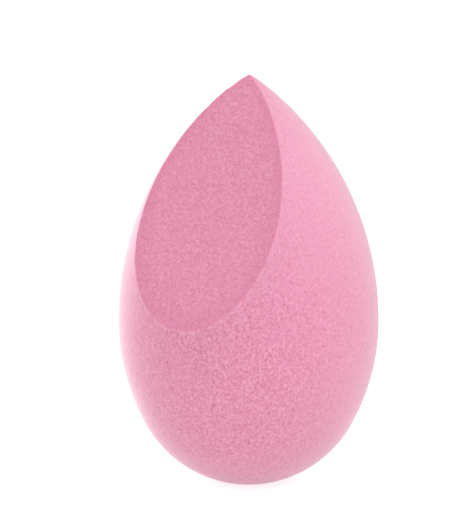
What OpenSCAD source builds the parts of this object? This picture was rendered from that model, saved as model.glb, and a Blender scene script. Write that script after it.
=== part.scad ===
// Makeup sponge: one moulded piece of soft foam. It is a pointed egg turned about its axis,
// with one slanted flat cut from the tip down the front.
// Millimetres, +Z up along the axis, origin at the middle of the seat. The cut faces -Y and up.

/* [Egg] */
// Width of the body at its widest level
body_w = 40; // [38:0.5:46]
// Height of the tip above the surface that the sponge stands on
body_h = 63.5; // [54:0.5:74]
// Height of the widest level above that surface
widest_h = 24.9; // [21:0.1:30]
// Radius of the round bottom
bottom_r = 18.25; // [15:0.25:19.25]
// Width of the flat seat that the round bottom has where it stands
seat_w = 8; // [2:0.5:14]

/* [Slanted cut] */
// Angle between the cut face and the axis, in degrees
cut_lean = 29; // [20:0.5:40]
// How far below the tip the cut face crosses the axis
cut_drop = 0.1; // [0:0.1:6]

/* [Hidden] */
$fn = 128;
// How far each shape runs past what bounds it
overrun = 1;
// How far the bottom arc stands proud of the flank arc that it touches, so that the two cross
lap = 0.001;
body_r = body_w / 2;
seat_r = seat_w / 2;

// Points of the half outline are [distance from the axis, height above the seat].
// The bottom arc is centred on the axis and ends at the seat's edge.
bottom_c = [0, sqrt(pow(bottom_r, 2) - pow(seat_r, 2))];

// The flank arc stands upright at the widest level, and the bottom arc touches it from inside.
flank_rise = widest_h - bottom_c.y;
touch_r = bottom_r - lap;
flank_r = (pow(body_r, 2) + pow(flank_rise, 2) - pow(touch_r, 2)) / (2 * (body_r - touch_r));
flank_c = [body_r - flank_r, widest_h];
flank_from_h = bottom_c.y - bottom_r * flank_rise / norm(flank_c - bottom_c);

// The shoulder arc stands upright at the widest level too, and runs into the tip on the axis.
shoulder_rise = body_h - widest_h;
shoulder_r = (pow(body_r, 2) + pow(shoulder_rise, 2)) / (2 * body_r);
shoulder_c = [body_r - shoulder_r, widest_h];

// The part of a disc between two heights, on the outline's side of the axis
module disc_band(centre, r, low, high) {
    intersection() {
        translate(centre) circle(r = r);
        translate([0, low]) square([body_r + overrun, high - low]);
    }
}

// Half of the egg's outline, from the seat up to the tip: three arcs, each tangent to the next
module half_outline() {
    disc_band(bottom_c, bottom_r, 0, widest_h);
    disc_band(flank_c, flank_r, flank_from_h, widest_h);
    disc_band(shoulder_c, shoulder_r, widest_h, body_h + overrun);
}

// All that lies in front of the slanted face
module cut_away() {
    translate([0, 0, body_h - cut_drop])
        rotate([-cut_lean, 0, 0])
            translate([-body_w, -body_w, -2 * body_h])
                cube([2 * body_w, body_w, 3 * body_h]);
}

module foam_body() {
    color("#f0a6c3")
        difference() {
            rotate_extrude() half_outline();
            cut_away();
        }
}

foam_body();
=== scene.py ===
import math

import bpy
import numpy as np
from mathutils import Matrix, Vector


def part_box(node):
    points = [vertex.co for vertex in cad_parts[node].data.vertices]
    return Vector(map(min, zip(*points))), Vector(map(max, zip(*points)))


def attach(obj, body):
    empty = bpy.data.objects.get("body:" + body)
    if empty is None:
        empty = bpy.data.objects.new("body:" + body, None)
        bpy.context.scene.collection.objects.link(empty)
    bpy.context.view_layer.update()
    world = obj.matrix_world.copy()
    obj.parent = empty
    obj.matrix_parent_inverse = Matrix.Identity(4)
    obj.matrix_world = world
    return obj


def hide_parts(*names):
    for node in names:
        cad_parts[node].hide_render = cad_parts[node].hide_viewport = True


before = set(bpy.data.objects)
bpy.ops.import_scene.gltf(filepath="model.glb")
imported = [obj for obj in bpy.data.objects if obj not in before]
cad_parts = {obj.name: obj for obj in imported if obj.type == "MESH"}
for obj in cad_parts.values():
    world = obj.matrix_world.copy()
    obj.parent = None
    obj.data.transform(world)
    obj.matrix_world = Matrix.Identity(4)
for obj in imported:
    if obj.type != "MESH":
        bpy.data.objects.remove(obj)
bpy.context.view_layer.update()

# The egg, in metres. Its half width is the frame's own. Its height is where the shoulders would
# meet on the axis: the tip is blunt and ends about 0.35 mm below that.
egg_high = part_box("foam_body")[1]
body_r = egg_high.x
body_h = 0.06365
widest_h = 0.0249
bottom_r = 0.01825
seat_r = 0.004

# The slanted cut: its lean from the axis, and how far below the egg's height it crosses the axis
cut_lean = math.radians(29)
cut_drop = 0.0001
cut_normal = Vector((0, -math.cos(cut_lean), math.sin(cut_lean)))
cut_start = Vector((0, 0, body_h - cut_drop))

# The mesh: chords of the turned outline, and the grid that the whole piece gets at the end
turn_steps = 256
bottom_chords = 48
flank_chords = 12
shoulder_chords = 90
foam_grid = 0.0002
weld = 1e-6
# How far from the rim of the cut and from the tip the edges are rounded, how often, and how far a
# point moves each time, as a part of the way to the middle of its neighbours
rim_soft = 0.0003
rim_rounds = 2
tip_soft = 0.0025
tip_rounds = 34
soft_share = 0.5
# The flat layout of the surface: how far the faces of one patch may turn, and the gap between two
# patches
patch_turn = math.radians(66)
patch_gap = 0.004

# The foam's cells, on the skin and on the cut: their width, how far the surface rises and sinks
# round them, and how far the pattern is moved, so that the two differ
skin_cell = 0.00045
skin_depth = 0.00004
skin_seed = 3.0
cut_cell = 0.0004
cut_depth = 0.00003
cut_seed = 7.0
# The cells are winding ridges: how many go to a cell's width, how much they wind, and their height
ridge_count = 1.2
ridge_twist = 0.5
ridge_height = 2.35
# Among them lie dots: how many go to a cell's width, where a dot's slope starts and ends, as parts
# of the way from dot to dot, and its height
dot_count = 1.1
dot_top = 0.1
dot_foot = 0.4
dot_height = 0.55
# Each dot has a number from 0 to 1. Up to the first value it is a pore and above the second a bump,
# with a soft change over the third. The last is a bump's height as a share of a pore's depth.
pore_below = 0.35
bump_above = 0.65
kind_blur = 0.05
bump_share = 0.8

# The skin's scattered larger pores: how far apart their places are, where a pore's slope starts and
# ends, as parts of the way from place to place, and its depth, where the fine relief has about 1
pore_gap = 0.0012
pore_floor = 0.07
pore_brim = 0.21
pore_depth = 0.7
# Each place has a number from 0 to 1 too. Up to the first value it has a whole pore, and as far
# past it as the second says, a shallower and shallower one.
pore_share = 0.5
pore_blur = 0.1

# The spot low on the front where the skin is roughest, how its relief falls off round it, more
# slowly up and down than sideways, and how much of it is left far away
rough_spot = (0.0075, -0.0175, 0.018)
rough_near = 0.005
rough_far = 0.0207
rough_stretch = (1, 1, 0.7)
smooth_share = 0.5
# How strong the relief is on the cut, and up to what height above the seat it fades in
cut_share = 0.68
seat_fade = 0.0008

# The skin swells a little over long stretches: how long they are, and how far it swells at most
swell_size = 0.012
swell_depth = 0.00008
# The cut's edge is a little ragged: how long its waves are, how deep at most, and how far to both
# sides of it they reach
rag_size = 0.0011
rag_depth = 0.00009
rag_reach = 0.0008

# Round the cut's edge, in steps of the mesh's grid outwards from it: the middle and the width of the
# change from cut to skin, and the middle and the half width of the pale line of painted highlight
change_middle = 0.2
change_width = 3
line_middle = 0.6
line_half_width = 0.9
# The finish changes where the mark of the cut goes from one of these to the other, after the cells
# and the ragged waves have pushed it up or down
change_from = 0.4
change_to = 0.6
cell_push = 0.25
wave_push = 0.4

# The foam's colours, as linear light from 0 to 1
# The grain's ridge colours carry painted highlight and its pit colours painted shade
skin_ridge_highlight = (0.905, 0.435, 0.603, 1)
skin_pit_shade = (0.515, 0.10, 0.195, 1)
cut_ridge_highlight = (0.985, 0.475, 0.66, 1)
cut_pit_shade = (0.61, 0.115, 0.22, 1)
edge_highlight_pink = (0.89, 0.46, 0.60, 1)
rim_pink = (0.70, 0.20, 0.35, 1)
top_sheen_pink = (0.86, 0.46, 0.605, 1)
# How far up and down the relief goes before the colour is all ridge or all pit
skin_span = 2.35
cut_span = 2.0
# How much of the painted highlight along the edge, of the rim's pink and of the painted sheen at the
# top is mixed in, and how far the ragged waves rise and sink to make the painted highlight along the
# edge whole or to break it
edge_highlight_share = 0.45
rim_share = 0.35
top_sheen_share = 0.25
line_break = 0.3
# How far in from the rim the cut is deeper in colour, and between which heights the skin gets paler
# with painted sheen
rim_band = 0.0016
sheen_from = 0.026
sheen_to = 0.056

# The surface: how matt the skin and the cut are, how much light both mirror, how much fine pale
# fuzz each has, how widely the fuzz shows, and how strongly the relief is shaded
skin_roughness = 0.65
cut_roughness = 0.9
foam_gloss = 0.2
skin_fuzz = 0.7
cut_fuzz = 0.45
fuzz_spread = 0.46
relief_shade = 0.5

# The camera, which looks down on the sponge from its front and right, with its lens in millimetres
camera_azimuth = math.radians(31.5)
camera_elevation = math.radians(12.9)
camera_distance = 0.5115
camera_lens = 237.3
picture_size = (475, 506)
pixels_per_metre = 6520.5
# The middle of the sponge's height, and the pixel where it stands in the photograph
half_way_up = Vector((0, 0, 0.03153))
half_way_pixel = (248.73, 279.1)

# The sky's light, and the floor: its width, how white it is, how much it glows on the sponge and to
# the camera, and over which stretch away from the sponge the camera sees it turn white
white = (1, 1, 1, 1)
sky_strength = 0.3
floor_size = 4
floor_white = 0.6
floor_light = 0.4
floor_glow = 0.7
white_from = 0.12
white_to = 0.5

# The lamps: each one's azimuth and elevation in degrees, its width, and the light that it gives to
# a face turned to it, where an even white sky of strength 1 gives 1
lamp_distance = 0.6
lamps = {
    "front": (12, 28, 0.35, 0.44),
    "right": (98, 22, 0.35, 0.26),
    "right_behind": (125, 42, 0.35, 0.32),
    "left_behind": (-107, 9, 0.58, 1.3),
    "top_behind": (180, 60, 0.35, 0.2),
}


class Wire:
    """A socket on its way through a tree of nodes. Sums on it add Math nodes."""

    def __init__(self, build, socket):
        self.build = build
        self.socket = socket

    def __add__(self, other):
        return self.build.math("ADD", self, other)

    def __radd__(self, other):
        return self.build.math("ADD", other, self)

    def __sub__(self, other):
        return self.build.math("SUBTRACT", self, other)

    def __rsub__(self, other):
        return self.build.math("SUBTRACT", other, self)

    def __mul__(self, other):
        return self.build.math("MULTIPLY", self, other)

    def __rmul__(self, other):
        return self.build.math("MULTIPLY", other, self)

    def beside(self, name):
        """Another output of the node that this socket belongs to."""
        return Wire(self.build, self.socket.node.outputs[name])


class Build:
    """Adds nodes to a tree, which holds a finish, a light or a relief."""

    def __init__(self, tree):
        self.tree = tree

    def node(self, kind, *values, settings=None, out=0, **named):
        """Adds a node, sets it up, feeds its sockets in order or by name, and gives one output."""
        made = self.tree.nodes.new(kind)
        for name, value in (settings or {}).items():
            setattr(made, name, value)
        sockets = list(zip(made.inputs, values))
        sockets += [(made.inputs[name.replace("_", " ")], value) for name, value in named.items()]
        for socket, value in sockets:
            if isinstance(value, Wire):
                self.tree.links.new(value.socket, socket)
            elif value is not None:
                socket.default_value = value
        return Wire(self, made.outputs[out]) if len(made.outputs) else made

    def math(self, operation, *values):
        return self.node("ShaderNodeMath", *values, settings={"operation": operation})

    def vector(self, operation, *values, out=0):
        return self.node("ShaderNodeVectorMath", *values, settings={"operation": operation}, out=out)

    def length(self, value):
        return self.vector("LENGTH", value, out=1)

    def height(self, place):
        return self.node("ShaderNodeSeparateXYZ", place, out=2)

    def mark(self, name):
        """One of the marks that mark_cut writes on the mesh, as a finish reads it."""
        return self.node("ShaderNodeAttribute", settings={"attribute_name": name}, out=2)

    def fade(self, value, low, high, start=0.0, end=1.0):
        """A soft step from start, where the value is low, to end, where it is high."""
        settings = {"interpolation_type": "SMOOTHSTEP"}
        return self.node("ShaderNodeMapRange", value, low, high, start, end, settings=settings)

    def blend(self, share, first, second):
        """Mixes two colours. The node's colour sockets come after those of its other types."""
        between = (None,) * 5
        return self.node(
            "ShaderNodeMix", share, *between, first, second, settings={"data_type": "RGBA"}, out=2
        )

    def mix(self, share, first, second):
        """Mixes two numbers."""
        return first + share * (second - first)


def waves(build, place, size):
    """Soft uneven waves of one size, between -1 and 1."""
    noise = build.node("ShaderNodeTexNoise", Vector=place, Scale=1 / size, Detail=1.0)
    return (noise - 0.5) * 2


def grain(build, place, cell, seed):
    """The foam's fine relief: from about -1 in its pores to about 1 on its ridges."""
    moved = build.vector("ADD", place, (seed, seed, seed))
    ridges = build.node(
        "ShaderNodeTexNoise",
        Vector=moved,
        Scale=ridge_count / cell,
        Detail=0.0,
        Distortion=ridge_twist,
    )
    dots = build.node("ShaderNodeTexVoronoi", Vector=moved, Scale=dot_count / cell)
    number = dots.beside("Color")
    pore = build.fade(number, pore_below, pore_below + kind_blur, -1.0, 0.0)
    bump = build.fade(number, bump_above, bump_above + kind_blur, 0.0, bump_share)
    dot = build.fade(dots, dot_top, dot_foot, 1.0, 0.0) * (pore + bump)
    return (ridges - 0.5) * ridge_height + dot * dot_height


def large_pores(build, place):
    """The skin's scattered larger pores: 1 inside one, 0 outside."""
    near = build.node("ShaderNodeTexVoronoi", Vector=place, Scale=1 / pore_gap)
    number = near.beside("Color")
    here = build.fade(number, pore_share, pore_share + pore_blur, 1.0, 0.0)
    return build.fade(near, pore_floor, pore_brim, 1.0, 0.0) * here


def skin_height(build, place):
    """The skin's relief. It is roughest round one spot and nearly smooth far from it."""
    off = build.vector("MULTIPLY", build.vector("SUBTRACT", place, rough_spot), rough_stretch)
    share = build.fade(build.length(off), rough_near, rough_far, 1.0, smooth_share)
    fine = grain(build, place, skin_cell, skin_seed)
    return fine * share - large_pores(build, place) * pore_depth


def cut_height(build, place):
    """The relief of the foam's open inside, the same all over the cut."""
    return grain(build, place, cut_cell, cut_seed) * cut_share


def arc(centre, radius, start, end, chords):
    """Points along a round stretch of the outline, without its first one."""
    angles = [start + (end - start) * step / chords for step in range(1, chords + 1)]
    return [(centre[0] + radius * math.cos(a), centre[1] + radius * math.sin(a)) for a in angles]


def half_outline():
    """The egg's half outline from the middle of the seat to the tip: three arcs that touch."""
    bottom_c = (0, math.sqrt(bottom_r ** 2 - seat_r ** 2))
    rise = widest_h - bottom_c[1]
    flank_r = (body_r ** 2 + rise ** 2 - bottom_r ** 2) / (2 * (body_r - bottom_r))
    flank_c = (body_r - flank_r, widest_h)
    turn = math.atan2(rise, flank_r - body_r)
    shoulder_rise = body_h - widest_h
    shoulder_r = (body_r ** 2 + shoulder_rise ** 2) / (2 * body_r)
    shoulder_c = (body_r - shoulder_r, widest_h)
    seat_turn = math.acos(seat_r / bottom_r)
    tip_turn = math.asin(shoulder_rise / shoulder_r)
    outline = [(0, 0), (seat_r, 0)]
    outline += arc(bottom_c, bottom_r, -seat_turn, -turn, bottom_chords)
    outline += arc(flank_c, flank_r, -turn, 0, flank_chords)
    outline += arc(shoulder_c, shoulder_r, 0, tip_turn, shoulder_chords)
    return outline


def turn_egg():
    """Draws the half outline from one point and turns it about the axis."""
    bpy.ops.object.select_all(action="DESELECT")
    bpy.ops.mesh.primitive_plane_add(size=seat_r, location=(0, 0, 0))
    egg = bpy.context.object
    egg.name = "foam_sponge"
    bpy.ops.object.mode_set(mode="EDIT")
    bpy.ops.mesh.merge(type="CENTER")
    points = half_outline()
    for last, point in zip(points, points[1:]):
        step = (point[0] - last[0], 0, point[1] - last[1])
        bpy.ops.mesh.extrude_region_move(TRANSFORM_OT_translate={"value": step})
    bpy.ops.mesh.select_all(action="SELECT")
    bpy.ops.mesh.spin(steps=turn_steps, angle=math.tau, center=(0, 0, 0), axis=(0, 0, 1))
    bpy.ops.mesh.select_all(action="SELECT")
    bpy.ops.mesh.remove_doubles(threshold=weld)
    bpy.ops.mesh.normals_make_consistent(inside=False)
    bpy.ops.object.mode_set(mode="OBJECT")
    return egg


def cut_front():
    """Slices the front off with one flat cut."""
    bpy.ops.object.mode_set(mode="EDIT")
    bpy.ops.mesh.select_all(action="SELECT")
    bpy.ops.mesh.bisect(
        plane_co=cut_start, plane_no=cut_normal, use_fill=True, clear_outer=True, threshold=weld
    )
    bpy.ops.object.mode_set(mode="OBJECT")


def measure(mesh):
    """Each point's height, how far behind the cut it lies, and how far inside the egg's skin."""
    flat = np.empty(3 * len(mesh.vertices))
    mesh.vertices.foreach_get("co", flat)
    places = flat.reshape(-1, 3)
    heights = places[:, 2]
    behind_cut = (np.array(cut_start) - places) @ np.array(cut_normal)
    outline = np.array(half_outline())
    radii = np.interp(heights, outline[:, 1], outline[:, 0])
    return heights, behind_cut, radii - np.hypot(places[:, 0], places[:, 1])


def mark_cut(mesh):
    """Writes on each point how much it belongs to the cut face, to the line round it where a
    highlight is painted, to the band of the cut inside that line, and to the ragged edge."""
    behind_cut, under_skin = measure(mesh)[1:]
    beyond = (behind_cut - under_skin) / foam_grid
    marks = {
        "cut_face": 0.5 - (beyond - change_middle) / change_width,
        "cut_edge_highlight": 1 - np.abs(beyond - line_middle) / line_half_width,
        "cut_rim": 1 - under_skin / rim_band,
        "ragged": 1 - (behind_cut + under_skin) / rag_reach,
    }
    for name, values in marks.items():
        mark = mesh.attributes.new(name, "FLOAT", "POINT")
        mark.data.foreach_set("value", np.clip(values, 0, 1).astype(np.float32))


def soften(egg, near, rounds):
    """Rounds the points off for which near is true."""
    bpy.ops.object.mode_set(mode="EDIT")
    bpy.ops.mesh.select_mode(type="VERT")
    bpy.ops.mesh.select_all(action="DESELECT")
    bpy.ops.object.mode_set(mode="OBJECT")
    egg.data.vertices.foreach_set("select", near)
    bpy.ops.object.mode_set(mode="EDIT")
    bpy.ops.mesh.vertices_smooth(factor=soft_share, repeat=rounds)
    bpy.ops.object.mode_set(mode="OBJECT")


def soften_edges(egg):
    """Rounds the rim of the cut a little and makes the tip blunt, as the photograph shows them."""
    heights, behind_cut, under_skin = measure(egg.data)
    soften(egg, (behind_cut < rim_soft) & (under_skin < rim_soft), rim_rounds)
    soften(egg, heights > egg_high.z - tip_soft, tip_rounds)


def unwrap(egg):
    """Lays the smooth surface out flat, for whoever paints the finish on pictures."""
    bpy.ops.object.mode_set(mode="EDIT")
    bpy.ops.mesh.select_all(action="SELECT")
    bpy.ops.uv.smart_project(angle_limit=patch_turn, island_margin=patch_gap)
    bpy.ops.object.mode_set(mode="OBJECT")
    egg.data.uv_layers.active.name = "OFBake"


def raise_grain(egg):
    """Lets the skin swell a little and the cut's edge wander, and presses the cells into the
    surface where the finish shows them."""
    tree = bpy.data.node_groups.new("foam_relief", "GeometryNodeTree")
    tree.interface.new_socket("Foam", in_out="INPUT", socket_type="NodeSocketGeometry")
    tree.interface.new_socket("Foam", in_out="OUTPUT", socket_type="NodeSocketGeometry")
    build = Build(tree)
    place = build.node("GeometryNodeInputPosition")
    face = build.node("GeometryNodeInputNamedAttribute", "cut_face")
    cut = build.fade(face, change_from, change_to)
    swell = waves(build, place, swell_size) * swell_depth
    skin_rise = skin_height(build, place) * skin_depth + swell
    cut_rise = cut_height(build, place) * cut_depth
    near_edge = build.node("GeometryNodeInputNamedAttribute", "ragged")
    edge_rise = waves(build, place, rag_size) * near_edge * rag_depth
    above_seat = build.fade(build.height(place), 0.0, seat_fade)
    rise = build.mix(cut, skin_rise, cut_rise) * above_seat + edge_rise
    normal = build.node("GeometryNodeInputNormal")
    offset = build.vector("SCALE", normal, None, None, rise)
    smooth = build.node("NodeGroupInput")
    raised = build.node("GeometryNodeSetPosition", Geometry=smooth, Offset=offset)
    build.node("NodeGroupOutput", raised)
    press = egg.modifiers.new("foam_relief", "NODES")
    press.node_group = tree
    bpy.ops.object.modifier_apply(modifier="foam_relief")


def matt_foam(build, colour, normal, roughness, fuzz):
    """A matt surface with fine pale fuzz, which shows where the surface is seen along it."""
    return build.node(
        "ShaderNodeBsdfPrincipled",
        Base_Color=colour,
        Roughness=roughness,
        Specular_IOR_Level=foam_gloss,
        Sheen_Weight=fuzz,
        Sheen_Roughness=fuzz_spread,
        Normal=normal,
    )


def foam_finish():
    """Matt fine-celled foam, dyed through, with painted shade in its pores and painted highlight on
    its ridges.
    """
    finish = bpy.data.materials.new("foam")
    finish.use_nodes = True
    finish.node_tree.nodes.clear()
    build = Build(finish.node_tree)
    place = build.node("ShaderNodeTexCoord", out=3)
    skin = skin_height(build, place)
    inside = cut_height(build, place)
    ragged = waves(build, place, rag_size)
    face = build.mark("cut_face") + inside * cell_push + ragged * wave_push
    cut = build.fade(face, change_from, change_to)
    # Painted shade in the pits and painted highlight on the ridges of the skin
    skin_pink = build.blend(build.fade(skin, -skin_span, skin_span), skin_pit_shade, skin_ridge_highlight)
    # Painted sheen: the skin paler towards the top
    up = build.fade(build.height(place), sheen_from, sheen_to)
    skin_pink = build.blend(up * top_sheen_share, skin_pink, top_sheen_pink)
    # A painted highlight along the cut's edge, broken by the ragged waves
    line = build.mark("cut_edge_highlight") * build.fade(ragged, -line_break, line_break, 0.0, edge_highlight_share)
    skin_pink = build.blend(line, skin_pink, edge_highlight_pink)
    # Painted shade in the pits and painted highlight on the ridges of the cut
    cut_pink = build.blend(build.fade(inside, -cut_span, cut_span), cut_pit_shade, cut_ridge_highlight)
    cut_pink = build.blend(build.mark("cut_rim") * rim_share, cut_pink, rim_pink)
    relief = build.mix(cut, skin, inside)
    normal = build.node(
        "ShaderNodeBump", Strength=relief_shade, Distance=skin_depth, Height=relief
    )
    moulded = matt_foam(build, skin_pink, normal, skin_roughness, skin_fuzz)
    opened = matt_foam(build, cut_pink, normal, cut_roughness, cut_fuzz)
    foam = build.node("ShaderNodeMixShader", cut, moulded, opened)
    build.node("ShaderNodeOutputMaterial", foam)
    return finish


def make_sponge():
    """The sponge, from the turned egg to the finished foam."""
    egg = turn_egg()
    cut_front()
    egg.data.remesh_voxel_size = foam_grid
    bpy.ops.object.voxel_remesh()
    mark_cut(egg.data)
    soften_edges(egg)
    unwrap(egg)
    raise_grain(egg)
    bpy.ops.object.shade_smooth()
    egg.data.materials.clear()
    egg.data.materials.append(foam_finish())
    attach(egg, "root")
    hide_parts("foam_body")


def make_floor():
    """A pale floor that keeps the shadow. It glows a little, and more to the camera, so that it
    looks white far from the sponge too."""
    bpy.ops.object.select_all(action="DESELECT")
    bpy.ops.mesh.primitive_plane_add(size=floor_size, location=(0, 0, 0))
    floor = bpy.context.object
    floor.name = "floor"
    finish = bpy.data.materials.new("pale_floor")
    finish.use_nodes = True
    finish.node_tree.nodes.clear()
    build = Build(finish.node_tree)
    seen = build.node("ShaderNodeLightPath")
    away = build.length(build.node("ShaderNodeTexCoord", out=3))
    shown = build.fade(away, white_from, white_to, floor_glow, 1.0)
    matt = build.node("ShaderNodeBsdfDiffuse", (floor_white, floor_white, floor_white, 1))
    glow = build.node("ShaderNodeEmission", white, build.mix(seen, floor_light, shown))
    build.node("ShaderNodeOutputMaterial", build.node("ShaderNodeAddShader", matt, glow))
    floor.data.materials.append(finish)


def make_sky():
    """Even light from all round, and white behind the sponge."""
    sky = bpy.data.worlds.new("studio")
    sky.use_nodes = True
    sky.node_tree.nodes.clear()
    build = Build(sky.node_tree)
    seen = build.node("ShaderNodeLightPath")
    light = build.node("ShaderNodeBackground", white, build.mix(seen, sky_strength, 1.0))
    build.node("ShaderNodeOutputWorld", light)
    bpy.context.scene.world = sky


def direction(azimuth, elevation):
    """The way from the sponge to a place round it. Azimuth 0 is in front of the cut."""
    across = math.cos(elevation)
    return Vector((math.sin(azimuth) * across, -math.cos(azimuth) * across, math.sin(elevation)))


def make_camera():
    """A camera at the photograph's viewing angle, aimed so that the middle of the sponge's height
    falls on its pixel of the photograph."""
    back = direction(camera_azimuth, camera_elevation)
    turn = back.to_track_quat("Z", "Y")
    aside = (half_way_pixel[0] - picture_size[0] / 2) / pixels_per_metre
    below = (half_way_pixel[1] - picture_size[1] / 2) / pixels_per_metre
    aim = half_way_up + turn @ Vector((-aside, below, 0))
    eye = half_way_up + back * camera_distance
    data = bpy.data.cameras.new("camera")
    data.lens = camera_lens
    camera = bpy.data.objects.new("camera", data)
    bpy.context.scene.collection.objects.link(camera)
    camera.location = eye
    camera.rotation_euler = (eye - aim).to_track_quat("Z", "Y").to_euler()
    bpy.context.scene.camera = camera


def make_lamp(name, azimuth, elevation, width, level):
    """A round soft lamp that points at the sponge."""
    towards = direction(math.radians(azimuth), math.radians(elevation))
    data = bpy.data.lights.new(name, "AREA")
    data.shape = "DISK"
    data.size = width
    data.energy = level * (math.pi * lamp_distance) ** 2
    lamp = bpy.data.objects.new(name, data)
    bpy.context.scene.collection.objects.link(lamp)
    lamp.location = half_way_up + towards * lamp_distance
    lamp.rotation_euler = towards.to_track_quat("Z", "Y").to_euler()


make_sponge()
make_floor()
make_sky()
make_camera()
for lamp_name, lamp_values in lamps.items():
    make_lamp(lamp_name, *lamp_values)
bpy.context.scene.view_settings.view_transform = "Standard"
